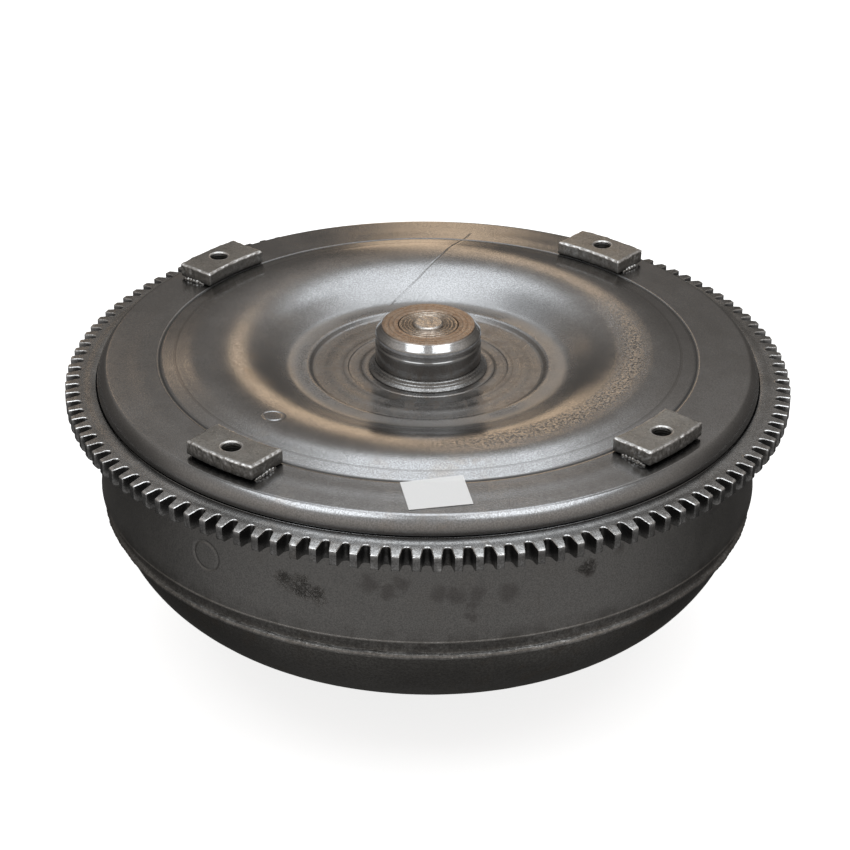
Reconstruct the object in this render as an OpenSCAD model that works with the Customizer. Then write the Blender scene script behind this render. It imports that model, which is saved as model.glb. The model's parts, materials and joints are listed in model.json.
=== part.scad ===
// Lock-up torque converter with a welded ring gear, built as separate pieces.
// Origin: centre of the pump hub's open end. +Z runs up the axis to the crankshaft pilot.
// Most heights are counted from the ring gear's front face, which is datum zero for the pieces.

/* [Casing] */
// Height of the ring gear's front face above the pump hub's end
gear_face_z = 132; // [126:1:140]
// Outside radius of the cover's wall
wall_r = 144.2; // [143.8:0.1:144.5]
// Length of the cover's wall below the ring gear's front face
wall_depth = 48.7; // [46:0.1:49]
// Distance of the torus centre line from the axis
torus_r = 88; // [87.5:0.1:88.2]
// Depth of the torus centre line below the ring gear's front face
torus_depth = 47.5; // [47:0.1:48]
// Outside radius of the impeller shell's section
shell_r = 53; // [52.5:0.1:53]
// Thickness of the impeller shell
shell_t = 3.2; // [2.5:0.1:3.4]

/* [Pilot] */
// Radius of the crankshaft pilot
pilot_r = 23; // [22:0.1:23.1]
// Height of the pilot's end above the ring gear's front face
pilot_top = 21.2; // [20.5:0.1:24]
// Radius of the plug in the pilot's end
plug_r = 13; // [12.5:0.1:14]

/* [Drive pads] */
// Inner radius of the drive pads
pad_in_r = 117; // [116.5:0.1:118]
// Outer radius of the drive pads
pad_out_r = 135.8; // [134:0.1:136.5]
// Width of a drive pad along the rim
pad_w = 35; // [28:0.5:36]
// Height of the pads' faces above the ring gear's front face
pad_top = 15.6; // [14:0.1:17]
// Radius of the circle through the threaded holes
bolt_circle_r = 127; // [125:0.1:129]
// Radius of a threaded hole
bolt_hole_r = 3.85; // [3:0.05:5]

/* [Ring gear] */
// Number of teeth
gear_teeth = 122; // [110:1:130]
// Module of the teeth
gear_module = 2.54; // [2.5:0.01:2.56]
// Face width
gear_w = 8; // [6:0.5:9]

/* [Pump hub] */
// Outside radius of the pump hub's neck
neck_r = 25.4; // [25:0.1:27]
// Radius of the neck's bore
neck_bore_r = 21; // [20.5:0.1:21.5]
// Width of a pump drive notch
notch_w = 10; // [8:0.5:12]
// Depth of a pump drive notch
notch_depth = 9; // [6:0.5:12]

/* [Blading] */
// Number of impeller blades
impeller_count = 31; // [23:1:33]
// Number of turbine blades
turbine_count = 29; // [23:1:33]
// Number of stator blades
stator_count = 19; // [15:1:21]
// Thickness of a sheet-metal blade
blade_t = 1.2; // [0.8:0.1:1.4]

/* [Damper and clutches] */
// Number of damper springs
spring_count = 8; // [6:1:8]
// Distance of the damper springs from the axis
spring_ring_r = 122.5; // [122:0.1:123]
// Outside radius of a damper spring
spring_r = 7; // [6:0.1:7.2]
// Number of one-way clutch rollers
roller_count = 12; // [8:1:12]
// Radius of a one-way clutch roller
roller_r = 3.2; // [3:0.05:3.3]

/* [Hidden] */
$fn = 96;

// Even gap left between pieces that touch on the real part
fit = 0.05;
// Directions of the four drive pads: the front pair sits two degrees closer together
pad_angles = [50, 140, 232, 318];
pad_bottom = 9.3;
cover_t = 4.8;
skirt_in_r = wall_r - 4.6;
skirt_lip_r = wall_r - 3.05;
track_z = 3;
floor_z = 0.9;
spigot_r = 18;
gear_tip_r = gear_module * (gear_teeth + 2) / 2;
gear_root_r = gear_tip_r - 2.15 * gear_module;
shell_in_r = shell_r - shell_t;
core_r = 20.5;
core_t = 1.2;
turbine_r = 47;
turbine_drop = 9.5;
turbine_t = 1.8;
turbine_land_r = 60;
turbine_land_z = turbine_top(turbine_land_r);
rivet_circle_r = 53;
rivet_count = 12;
turbine_hub_r = 27;
stator_out_r = 66.3;
stator_hub_r = 41;
race_r = 35.9;
inner_race_r = 24.5;
roller_ring_r = inner_race_r + roller_r + fit;
lug_angles = [22.5, 112.5, 202.5, 292.5];

// Points along an arc in the section plane
function arc(cx, cz, r, a0, a1, n) =
    [for (i = [0 : n]) let (a = a0 + (a1 - a0) * i / n) [cx + r * cos(a), cz + r * sin(a)]];

// Height of the turbine shell's outside at radius r
function turbine_top(r) =
    -torus_depth - turbine_drop + sqrt(turbine_r * turbine_r - (r - torus_r) * (r - torus_r));

// Height of the flat ring of the cover at radius r
function ring_z(r) = 9.15 - (r - 117.6) * 1.05 / 22.2;

module at_face() {
    translate([0, 0, gear_face_z]) children();
}

// Ring with a rectangular section between two heights
module band(r_in, r_out, z0, z1) {
    rotate_extrude() translate([r_in, z0]) square([r_out - r_in, z1 - z0]);
}

// Flat blade standing on a section drawn in the plane of the axis
module blade_set(count, thickness) {
    for (i = [0 : count - 1])
        rotate([0, 0, i * 360 / count])
            rotate([90, 0, 0])
                linear_extrude(thickness, center = true) children();
}

// ---- casing ----

module front_cover() {
    color("dimgray") at_face() rotate_extrude() polygon(concat(
        [[skirt_lip_r, -wall_depth], [wall_r - 0.8, -wall_depth], [wall_r, -wall_depth + 0.8]],
        [[wall_r, -0.2], [wall_r - 0.4, 0]],
        arc(wall_r - 9.6, 0.5, 9.2, 0, 55.5, 6),
        [[117.6, ring_z(117.6)], [117.1, 8.7], [116.4, 8.7], [116, 9.3]],
        arc(97, -37, 49, 76.7, 90, 4),
        arc(97, -58, 70, 92.5, 112, 6),
        [[62.6, 3.58], [60.6, 2.95], [59.2, 2.75], [57.5, 2.62]],
        [[52.8, 2.55], [51.8, 2.3], [50.3, 1.1]],
        [[49.5, floor_z], [34.9, floor_z], [34.6, floor_z - 0.3], [29.3, floor_z - 0.3]],
        [[29, floor_z], [spigot_r + fit, floor_z], [spigot_r + fit, floor_z - cover_t]],
        [[50, floor_z - cover_t + 0.2], [62, -1.5], [68, 0.6], [73, 2.9], [80, 5.1], [88, 6.6]],
        [[97, 7.2], [107, 5.6]],
        [[113, track_z]],
        arc(skirt_in_r - 5, track_z - 5, 5, 90, 0, 4),
        [[skirt_in_r, -wall_depth + 7.7], [skirt_lip_r, -wall_depth + 7.7]]
    ));
}

module pilot_hub() {
    color("silver") at_face() rotate_extrude() polygon([
        [11.5, floor_z - cover_t], [spigot_r, floor_z - cover_t], [spigot_r, floor_z + fit],
        [22.9, floor_z + fit], [pilot_r + 0.1, 3.4], [pilot_r, 4.4], [pilot_r, 13.2],
        [pilot_r - 0.5, 13.7], [pilot_r - 0.5, 15.8], [pilot_r, 16.3], [pilot_r, 19.8],
        [pilot_r - 1.2, 20.7], [pilot_r - 3.6, pilot_top], [plug_r + 0.45, pilot_top],
        [plug_r + fit, pilot_top - 0.5], [plug_r + fit, pilot_top - 6], [11.5, pilot_top - 6]
    ]);
}

module pilot_plug() {
    color("peru") at_face() rotate_extrude() polygon([
        [0, pilot_top - 5.95], [plug_r, pilot_top - 5.95], [plug_r, pilot_top - 0.5],
        [plug_r - 0.4, pilot_top], [7.4, pilot_top], [6.9, pilot_top - 0.3],
        [6.6, pilot_top + 0.3], [5.8, pilot_top + 0.6], [0, pilot_top + 0.6]
    ]);
}

module pilot_weld() {
    color("darkgray") at_face() rotate_extrude() polygon([
        [23.15, floor_z + fit], [27, floor_z + fit], [26.9, 1.7], [26.4, 2.4], [25.1, 3.1],
        [23.9, 3.8], [23.3, 4.2], [23.15, 3.4]
    ]);
}

// Block with curved inner and outer edges and one tapped hole
module drive_pad(a) {
    at_face() rotate([0, 0, a]) difference() {
        intersection() {
            band(pad_in_r, pad_out_r, pad_bottom, pad_top);
            translate([pad_in_r - 10, -pad_w / 2, pad_bottom - 1])
                cube([pad_out_r - pad_in_r + 20, pad_w, pad_top - pad_bottom + 2]);
        }
        translate([bolt_circle_r, 0, pad_bottom - 1])
            cylinder(r = bolt_hole_r, h = pad_top - pad_bottom + 2);
        translate([bolt_circle_r, 0, pad_top - 0.4])
            cylinder(r1 = bolt_hole_r, r2 = bolt_hole_r + 0.5, h = 0.5);
    }
}

module drive_pad_1() {
    color("gray") drive_pad(pad_angles[0]);
}

module drive_pad_2() {
    color("gray") drive_pad(pad_angles[1]);
}

module drive_pad_3() {
    color("gray") drive_pad(pad_angles[2]);
}

module drive_pad_4() {
    color("gray") drive_pad(pad_angles[3]);
}

// One fillet bead along each straight end of every pad
module drive_pad_welds() {
    color("darkslategray") at_face() for (a = pad_angles, side = [-1, 1])
        rotate([0, 0, a])
            translate([pad_in_r + 4, side * (pad_w / 2 + fit), ring_z(pad_in_r) + fit])
                rotate([90, 0, 90]) linear_extrude(12)
                    polygon([[0, 0], [side * 2.1, 0], [side * 1.6, 0.9], [side * 0.7, 1.7], [0, 2.2]]);
}

module ring_gear() {
    step = 360 / gear_teeth;
    pitch_r = gear_tip_r - gear_module;
    color("slategray") at_face() intersection() {
        translate([0, 0, -gear_w]) linear_extrude(gear_w) difference() {
            polygon([for (i = [0 : gear_teeth - 1], p = [
                [gear_root_r, -0.33], [gear_root_r + 0.9, -0.26], [pitch_r, -0.23], [gear_tip_r, -0.18],
                [gear_tip_r, 0.18], [pitch_r, 0.23], [gear_root_r + 0.9, 0.26], [gear_root_r, 0.33]
            ]) let (a = (i + p[1]) * step) [p[0] * cos(a), p[0] * sin(a)]]);
            circle(r = wall_r + fit, $fn = 180);
        }
        rotate_extrude() polygon([
            [wall_r - 5, -gear_w], [gear_tip_r - 2, -gear_w], [gear_tip_r + 0.5, -gear_w + 2.5],
            [gear_tip_r + 0.5, -0.9], [gear_root_r + 0.8, 0], [wall_r - 5, 0]
        ]);
    }
}

// Short beads under the gear that hold it on the cover
module ring_gear_welds() {
    color("darkslategray") at_face() for (i = [0 : 7])
        rotate([0, 0, 22.5 + 45 * i]) rotate_extrude(angle = 9)
            polygon([[wall_r + fit, -gear_w - fit], [wall_r + 3, -gear_w - fit],
                     [wall_r + 1.2, -gear_w - 1.4], [wall_r + fit, -gear_w - 3]]);
}

// ---- impeller ----

module impeller_shell() {
    color("dimgray") at_face() rotate_extrude() polygon(concat(
        [[torus_r + shell_in_r, -wall_depth + 7.2], [torus_r + shell_r - fit, -wall_depth + 7.2]],
        arc(torus_r, -torus_depth, shell_r, 0, -144, 24),
        arc(torus_r, -torus_depth, shell_in_r, -142, 0, 24)
    ));
}

// Ridge that closes the joint between the cover and the impeller shell
module closing_weld() {
    color("darkgray") at_face() rotate_extrude() polygon([
        [142.3, -wall_depth - fit], [141.1, -wall_depth - fit], [141.1, -52.5], [140.9, -55.5],
        [140.6, -57.2], [142.2, -57.3], [143.6, -56.4], [144.1, -54.8], [143.6, -53.2], [142.3, -52.6]
    ]);
}

module impeller_hub() {
    color("silver") difference() {
        rotate_extrude() polygon([
            [neck_bore_r, 1], [neck_bore_r + 1, 0], [neck_r - 1, 0], [neck_r, 1], [neck_r, 47],
            [neck_r + 2, 49.5], [43.6, 49.5], [45, 52.5], [45, 55.5], [34, 57], [34, 67.2],
            [neck_bore_r, 67.2]
        ]);
        for (a = [0, 180])
            rotate([0, 0, a]) translate([neck_bore_r - 4, -notch_w / 2, -1])
                cube([neck_r - neck_bore_r + 8, notch_w, notch_depth + 1]);
    }
}

// Bead in the groove between the pump hub and the impeller shell
module hub_weld() {
    color("darkgray") at_face() rotate_extrude() polygon([
        [45.12, -79.6], [47.3, -81.9], [47, -83], [45.6, -83.7], [44.3, -83.4], [43.75, -82.6]
    ]);
}

module impeller_blades() {
    color("gainsboro") at_face() blade_set(impeller_count, blade_t) difference() {
        translate([torus_r, -torus_depth]) circle(r = shell_in_r - 0.25);
        translate([torus_r, -torus_depth]) circle(r = core_r + 0.2);
        translate([0, -torus_depth - 1.2]) square([160, 60]);
        translate([0, -62]) square([67.3, 60]);
    }
}

// Half ring round the middle of the torus; side is -1 for the impeller and 1 for the turbine
module core_ring(side) {
    a0 = side * 3.5;
    a1 = side * 176.5;
    at_face() rotate_extrude() polygon(concat(
        arc(torus_r, -torus_depth, core_r, a0, a1, 20),
        arc(torus_r, -torus_depth, core_r - core_t, a1, a0, 20)
    ));
}

module impeller_core_ring() {
    color("gainsboro") core_ring(-1);
}

// Small plates tacked on the impeller shell to balance the unit
module balance_weights() {
    color("lightgray") at_face() for (a = [71, 84])
        rotate([0, 0, a]) rotate_extrude(angle = 7)
            polygon(concat(
                arc(torus_r, -torus_depth, shell_r + fit, -62, -52, 3),
                arc(torus_r, -torus_depth, shell_r + 2, -52, -62, 3)
            ));
}

// Blank paper label on the flat ring and the foot of the bulge
module blank_label() {
    color("white") at_face() intersection() {
        rotate_extrude() polygon([
            [109, 10.75], [116.8, 9.35], [139, ring_z(139) + 0.1], [139, ring_z(139) + 0.25],
            [116.8, 9.5], [109, 10.9]
        ]);
        rotate([0, 0, -88.4]) translate([124.75, 0, 0]) rotate([0, 0, 9.1])
            translate([-10, -12.7, 5]) cube([20, 25.4, 10]);
    }
}

module cover_thrust_washer() {
    color("tan") at_face() band(14.5, 25.5, -5.6, -4.1);
}

// ---- turbine ----

module turbine_shell() {
    c = -torus_depth - turbine_drop;
    in_r = turbine_r - turbine_t;
    rise = asin((turbine_drop + 1.2) / turbine_r);
    in_rise = asin((turbine_drop + 1.2) / in_r);
    land = acos((turbine_land_r - torus_r) / turbine_r);
    color("gainsboro") at_face() difference() {
        rotate_extrude() polygon(concat(
            arc(torus_r, c, turbine_r, rise, land, 20),
            [[46, turbine_land_z], [43, -30], [42.6, -33.8], [44.4, -33.8], [44.8, -30]],
            [[47.3, turbine_land_z - turbine_t], [turbine_land_r, turbine_land_z - turbine_t]],
            arc(torus_r, c, in_r, land - 1, in_rise, 20)
        ));
        rivet_holes();
    }
}

module rivet_holes() {
    for (i = [0 : rivet_count - 1])
        rotate([0, 0, i * 360 / rivet_count]) translate([rivet_circle_r, 0, turbine_land_z - 5])
            cylinder(r = 2.55, h = 12, $fn = 32);
}

module turbine_blades() {
    c = -torus_depth - turbine_drop;
    color("gainsboro") at_face() blade_set(turbine_count, blade_t) difference() {
        intersection() {
            translate([torus_r, c]) circle(r = turbine_r - turbine_t - 0.25);
            translate([45.5, -torus_depth + 1.2]) square([100, 60]);
        }
        translate([torus_r, -torus_depth]) circle(r = core_r + 0.2);
        translate([0, turbine_land_z - turbine_t - 0.3]) square([turbine_land_r + 2, 20]);
        translate([0, -60]) square([67.3, 26]);
        translate([0, turbine_land_z - turbine_t - 4]) square([57.5, 20]);
    }
}

module turbine_core_ring() {
    color("gainsboro") core_ring(1);
}

// Hub with an internal spline for the gearbox input shaft
module turbine_hub() {
    teeth = 24;
    flange_z = turbine_land_z + fit;
    color("silver") at_face() difference() {
        rotate_extrude() polygon([
            [9, -5.8], [turbine_hub_r, -5.8], [turbine_hub_r, -10.4], [turbine_hub_r - 1.8, -10.4],
            [turbine_hub_r - 1.8, -12.6], [turbine_hub_r, -12.6], [turbine_hub_r, flange_z + 4],
            [58, flange_z + 4], [58, flange_z], [34, flange_z], [30, -24], [turbine_hub_r, -30], [9, -30]
        ]);
        translate([0, 0, -31]) linear_extrude(26)
            polygon([for (i = [0 : teeth - 1], p = [[12.2, 0.05], [13.6, 0.3], [13.6, 0.7], [12.2, 0.95]])
                let (a = (i + p[1]) * 360 / teeth) [p[0] * cos(a), p[0] * sin(a)]]);
        rivet_holes();
    }
}

module turbine_rivets() {
    low = turbine_land_z - turbine_t;
    high = turbine_land_z + 4 + fit;
    color("silver") at_face() for (i = [0 : rivet_count - 1])
        rotate([0, 0, i * 360 / rivet_count]) translate([rivet_circle_r, 0, 0])
            rotate_extrude($fn = 32) polygon([
                [0, low - 1.7], [2.4, low - 1.7], [4, low - 0.8], [4, low - fit], [2.5, low - fit],
                [2.5, high + fit], [4, high + fit], [4, high + 0.8], [2.4, high + 1.6], [0, high + 1.6]
            ]);
}

// ---- damper and lock-up clutch ----

// Ring on the turbine's back with one tab between each pair of springs
module damper_drive_ring() {
    step = 360 / spring_count;
    color("lightslategray") at_face() union() {
        rotate_extrude() polygon([
            [121.4, turbine_top(121.4) + 0.15], [124.2, turbine_top(124.2) + 0.15],
            [124.2, -20.2], [121.4, -20.2]
        ]);
        for (i = [0 : spring_count - 1])
            rotate([0, 0, i * step - 2.5]) rotate_extrude(angle = 5)
                polygon([[120.2, -21.8], [124.8, -21.8], [124.8, -7], [120.2, -7]]);
    }
}

// Channel that holds the springs; its stops stand either side of the drive tabs
module spring_carrier() {
    step = 360 / spring_count;
    color("darkgray") at_face() difference() {
        union() {
            rotate_extrude() polygon([
                [111.4, -10], [113, -10], [113, -4.8], [131, -4.8], [131, -18.5], [132.5, -18.5],
                [132.5, -3.3], [111.4, -3.3]
            ]);
            for (i = [0 : spring_count - 1])
                rotate([0, 0, i * step - 2.5]) rotate_extrude(angle = 5)
                    polygon([[112.9, -4.7], [118.8, -4.7], [118.8, -14], [112.9, -9.9]]);
            for (i = [0 : spring_count - 1])
                rotate([0, 0, i * step - 2.5]) rotate_extrude(angle = 5)
                    polygon([[126.2, -4.7], [131.1, -4.7], [131.1, -18], [126.2, -18]]);
        }
        for (a = lug_angles)
            rotate([0, 0, a]) translate([110, -9.5, -11]) cube([4.2, 19, 9]);
    }
}

// Envelopes of the arc springs, one curved coil between each pair of stops
module damper_springs() {
    step = 360 / spring_count;
    color("steelblue") at_face() for (i = [0 : spring_count - 1])
        rotate([0, 0, i * step + 2.8]) rotate_extrude(angle = step - 5.6)
            translate([spring_ring_r, -12]) difference() {
                circle(r = spring_r - 0.1, $fn = 32);
                circle(r = spring_r - 3, $fn = 32);
            }
}

module lockup_piston() {
    color("lightgray") at_face() union() {
        rotate_extrude() polygon([
            [turbine_hub_r + fit, -14], [30.5, -14], [30.5, -10.5], [50, -10.2], [62, -8],
            [80, -3], [85, -2.3], [136, -2.3], [136, 0.7], [84, 0.7], [80, 0], [62, -5],
            [50, -7.2], [turbine_hub_r + fit, -7.5]
        ]);
        for (a = lug_angles)
            rotate([0, 0, a]) intersection() {
                band(110.8, 113.7, -10, -2.2);
                translate([100, -9, -11]) cube([20, 18, 10]);
            }
    }
}

module friction_lining() {
    color("darkkhaki") at_face() band(116, 134, 0.75, 1.9);
}

// Square-cut ring in the turbine hub's groove
module piston_seal() {
    color("black") at_face() band(turbine_hub_r - 1.7, turbine_hub_r, -12.5, -10.5);
}

// ---- stator and one-way clutch ----

// Blade section in the plane of the axis and the rim: a crescent cut from two arcs
module stator_section() {
    intersection() {
        translate([-12, 0]) circle(r = 18);
        difference() {
            translate([-8, -10.5]) square([18, 21]);
            translate([-15.5, 0]) circle(r = 18.5);
        }
    }
}

module stator_wheel() {
    mid = -torus_depth;
    color("silver") at_face() union() {
        band(race_r + fit, stator_hub_r, mid - 11.5, mid + 11.5);
        band(stator_out_r - 2, stator_out_r, mid - 11.5, mid + 11.5);
        for (i = [0 : stator_count - 1])
            rotate([0, 0, i * 360 / stator_count]) translate([stator_hub_r - 0.6, 0, mid])
                rotate([0, 90, 0]) rotate([0, 0, 90])
                    linear_extrude(stator_out_r - stator_hub_r - 0.8) stator_section();
    }
}

// Ring with one sloped pocket for each roller and its spring
module clutch_outer_race() {
    color("gray") at_face() difference() {
        band(28.3, race_r, -58, -37);
        for (i = [0 : roller_count - 1])
            rotate([0, 0, i * 360 / roller_count]) {
                translate([roller_ring_r, 0, -59])
                    cylinder(r = roller_r + 0.08, h = 23, $fn = 48);
                rotate([0, 0, 7.5]) translate([roller_ring_r + 0.6, 0, -59])
                    cylinder(r = roller_r + 0.1, h = 23, $fn = 48);
            }
    }
}

module clutch_rollers() {
    color("silver") at_face() for (i = [0 : roller_count - 1])
        rotate([0, 0, i * 360 / roller_count]) translate([roller_ring_r, 0, -57.5])
            cylinder(r = roller_r, h = 20, $fn = 48);
}

// Folded strip springs that push the rollers into their ramps
module clutch_springs() {
    color("goldenrod") at_face() for (i = [0 : roller_count - 1])
        rotate([0, 0, i * 360 / roller_count + 9.2]) translate([roller_ring_r + 0.8, 0, -52])
            linear_extrude(9) polygon([
                [-1.3, -1.1], [1.3, -0.5], [-0.7, 0.3], [1.3, 1.3], [1.3, 1.7], [-1.3, 0.5],
                [0.6, -0.4], [-1.3, -0.8]
            ]);
}

module front_side_plate() {
    color("lightslategray") at_face() band(25.6, stator_hub_r - 1, -35.9, -34.3);
}

module rear_side_plate() {
    color("lightslategray") at_face() band(25.6, stator_hub_r - 1, -60.7, -59.1);
}

// Inner race with an internal spline for the stator support
module clutch_inner_race() {
    teeth = 28;
    color("silver") at_face() difference() {
        band(14, inner_race_r, -60.2, -34.8);
        translate([0, 0, -61]) linear_extrude(27)
            polygon([for (i = [0 : teeth - 1], p = [[16.4, 0.05], [17.8, 0.3], [17.8, 0.7], [16.4, 0.95]])
                let (a = (i + p[1]) * 360 / teeth) [p[0] * cos(a), p[0] * sin(a)]]);
    }
}

// ---- thrust bearings ----

// Two flat washers with room between them for the needles
module bearing_races(z0, gap) {
    at_face() band(26.2, 38, z0, z0 + 0.9);
    at_face() band(26.2, 38, z0 + 0.9 + gap, z0 + 1.8 + gap);
}

module bearing_cage(z0) {
    at_face() difference() {
        band(27, 37, z0, z0 + 1.4);
        for (i = [0 : 23])
            rotate([0, 0, i * 15]) translate([28.4, -1.15, z0 - 1]) cube([7.2, 2.3, 4]);
    }
}

module bearing_needles(z_mid) {
    at_face() for (i = [0 : 23])
        rotate([0, 0, i * 15]) translate([28.6, 0, z_mid]) rotate([0, 90, 0])
            cylinder(r = 1, h = 6.8, $fn = 24);
}

module front_bearing_races() {
    color("silver") bearing_races(-34.2, 2.1);
}

module front_bearing_cage() {
    color("goldenrod") bearing_cage(-32.95);
}

module front_bearing_needles() {
    color("gainsboro") bearing_needles(-32.25);
}

module rear_bearing_races() {
    color("silver") bearing_races(-64.7, 2.1);
}

module rear_bearing_cage() {
    color("goldenrod") bearing_cage(-63.45);
}

module rear_bearing_needles() {
    color("gainsboro") bearing_needles(-62.75);
}

front_cover();
pilot_hub();
pilot_plug();
pilot_weld();
drive_pad_1();
drive_pad_2();
drive_pad_3();
drive_pad_4();
drive_pad_welds();
ring_gear();
ring_gear_welds();
impeller_shell();
closing_weld();
impeller_hub();
hub_weld();
impeller_blades();
impeller_core_ring();
balance_weights();
blank_label();
cover_thrust_washer();
turbine_shell();
turbine_blades();
turbine_core_ring();
turbine_hub();
turbine_rivets();
damper_drive_ring();
spring_carrier();
damper_springs();
lockup_piston();
friction_lining();
piston_seal();
stator_wheel();
clutch_outer_race();
clutch_rollers();
clutch_springs();
front_side_plate();
rear_side_plate();
clutch_inner_race();
front_bearing_races();
front_bearing_cage();
front_bearing_needles();
rear_bearing_races();
rear_bearing_cage();
rear_bearing_needles();
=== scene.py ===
import json
from math import (
    acos, asin, atan2, ceil, copysign, cos, degrees, dist, exp, hypot, pi, radians, remainder, sin, sqrt, tan)

import bmesh
import bpy
from mathutils import Matrix, Quaternion, Vector, noise


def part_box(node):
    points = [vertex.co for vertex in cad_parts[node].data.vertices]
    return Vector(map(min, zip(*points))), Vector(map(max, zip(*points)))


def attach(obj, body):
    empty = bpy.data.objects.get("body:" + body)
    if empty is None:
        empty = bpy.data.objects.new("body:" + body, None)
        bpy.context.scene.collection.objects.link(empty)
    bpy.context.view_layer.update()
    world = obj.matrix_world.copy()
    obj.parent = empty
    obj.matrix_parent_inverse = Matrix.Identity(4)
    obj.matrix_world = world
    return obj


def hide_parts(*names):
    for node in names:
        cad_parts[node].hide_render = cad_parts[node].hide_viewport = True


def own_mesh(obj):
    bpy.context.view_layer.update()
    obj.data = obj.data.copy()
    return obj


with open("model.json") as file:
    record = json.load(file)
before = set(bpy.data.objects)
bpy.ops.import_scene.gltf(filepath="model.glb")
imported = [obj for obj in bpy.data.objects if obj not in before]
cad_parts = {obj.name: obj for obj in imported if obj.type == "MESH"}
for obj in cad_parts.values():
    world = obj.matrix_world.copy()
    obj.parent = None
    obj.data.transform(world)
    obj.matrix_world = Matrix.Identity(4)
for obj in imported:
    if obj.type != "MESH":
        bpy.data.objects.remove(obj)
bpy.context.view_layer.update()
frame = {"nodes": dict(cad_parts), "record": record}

# ------ datums

MM = 0.001  # heights and radii below are in mm from the gear's front face unless they name MM
record = frame["record"]
mounts = {m["name"]: m for m in record["mounts"]}
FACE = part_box("ring_gear")[1].z  # height of the ring gear's front face
WALL_R = round(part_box("front_cover")[1].x / MM, 1)  # outside radius of the cover's wall, mm
WALL_LOW = (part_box("front_cover")[0].z - FACE) / MM  # the wall's lower end, mm from the face
GEAR_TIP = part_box("ring_gear")[1].x / MM
GEAR_LOW = (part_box("ring_gear")[0].z - FACE) / MM
PILOT_R = mounts["crank_pilot"]["dims"]["r_mm"]
PILOT_TOP = (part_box("pilot_hub")[1].z - FACE) / MM
PAD_TOP = (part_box("drive_pad_1")[1].z - FACE) / MM
PAD_LOW = (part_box("drive_pad_1")[0].z - FACE) / MM
HOLE_R = mounts["pad_hole_1"]["dims"]["r_mm"]
TORUS_R = 88.0  # distance of the torus's middle circle from the axis, mm
TORUS_Z = -47.5  # its height
TAU = 2 * pi


def pad_angle(number):
    x, y, _ = mounts[f"pad_hole_{number}"]["pos_m"]
    return atan2(y, x)


# ------ mesh tools

# Sections are lists of (radius, height) in mm, heights counted from the ring gear's front face.


def arc(cx, cz, r, start, end, steps):
    """Points along an arc of a section; angles in degrees."""
    turns = [radians(start + (end - start) * i / steps) for i in range(steps + 1)]
    return [(cx + r * cos(a), cz + r * sin(a)) for a in turns]


def rounded(points, radius, steps=3, closed=True):
    """The section with each corner over 12 degrees turned into a small arc."""
    out = []
    count = len(points)
    for i, p in enumerate(points):
        if not closed and i in (0, count - 1):
            out.append(p)
            continue
        before, here, after = Vector(points[i - 1]), Vector(p), Vector(points[(i + 1) % count])
        u, v = before - here, after - here
        if u.length < 1e-6 or v.length < 1e-6:
            continue
        turn = pi - u.angle(v)
        if turn < radians(12):
            out.append(tuple(here))
            continue
        cut = min(radius * tan(turn / 2), 0.42 * u.length, 0.42 * v.length)
        a, b = here + u.normalized() * cut, here + v.normalized() * cut
        for k in range(steps + 1):
            t = k / steps
            out.append(tuple(a * (1 - t) ** 2 + here * 2 * t * (1 - t) + b * t * t))
    return out


def filled(points, step, closed=True):
    """The section with long straight stretches split into pieces no longer than step."""
    out = []
    count = len(points)
    for i in range(count if closed else count - 1):
        a, b = Vector(points[i]), Vector(points[(i + 1) % count])
        parts = max(1, ceil((b - a).length / step))
        out += [tuple(a.lerp(b, k / parts)) for k in range(parts)]
    if not closed:
        out.append(tuple(points[-1]))
    return out


def lathe(section, segments, closed=True):
    """A bmesh in mm: the section turned about Z. An open section starts and ends on the axis."""
    bm = bmesh.new()
    rings = []
    for r, z in section:
        if r < 1e-5:
            rings.append([bm.verts.new((0, 0, z))])
            continue
        turns = [TAU * j / segments for j in range(segments)]
        rings.append([bm.verts.new((r * cos(a), r * sin(a), z)) for a in turns])
    pairs = list(zip(rings, rings[1:])) + ([(rings[-1], rings[0])] if closed else [])
    for low, high in pairs:
        for j in range(segments):
            k = (j + 1) % segments
            corners = [low[j % len(low)], low[k % len(low)], high[k % len(high)], high[j % len(high)]]
            unique = list(dict.fromkeys(corners))
            if len(unique) > 2:
                bm.faces.new(unique)
    bmesh.ops.recalc_face_normals(bm, faces=bm.faces)
    return bm


def painted(bm, name):
    """A number on each vertex that the materials read."""
    return bm.verts.layers.float.new(name)


def set_shading(bm, sharp_angle):
    """Smooth faces, with edges sharper than the angle in degrees left crisp."""
    for f in bm.faces:
        f.smooth = True
    limit = radians(sharp_angle)
    for e in bm.edges:
        e.smooth = len(e.link_faces) != 2 or e.calc_face_angle(0) < limit


def linked(name, data):
    """A new object in the scene that holds the data."""
    piece = bpy.data.objects.new(name, data)
    bpy.context.scene.collection.objects.link(piece)
    return piece


def linked_object(name, bm):
    """A new object in the scene that takes over the bmesh."""
    mesh = bpy.data.meshes.new(name)
    bm.to_mesh(mesh)
    bm.free()
    return linked(name, mesh)


def finish_piece(name, bm, body, stands_for, slot, sharp_angle, look=None):
    """Turns a bmesh in mm into an object in the frame that rides on a body; it takes its slot's look."""
    bmesh.ops.transform(bm, matrix=Matrix.Translation((0, 0, FACE)) @ Matrix.Scale(MM, 4), verts=bm.verts)
    set_shading(bm, sharp_angle)
    piece = linked_object(name, bm)
    piece.data.materials.append(looks[look or slot])
    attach(piece, body)
    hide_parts(stands_for)
    return piece


def swept_tube(bm, rings):
    """Skins a row of vertex rings and caps both ends."""
    for a, b in zip(rings, rings[1:]):
        for k in range(len(a)):
            j = (k + 1) % len(a)
            bm.faces.new((a[k], a[j], b[j], b[k]))
    bm.faces.new(rings[0])
    bm.faces.new(list(reversed(rings[-1])))


def wobble(x, y, z, scale):
    """Smooth seeded noise from -1 to 1; scale is its grain in mm."""
    return noise.noise(Vector((x / scale, y / scale, z / scale)))


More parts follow.
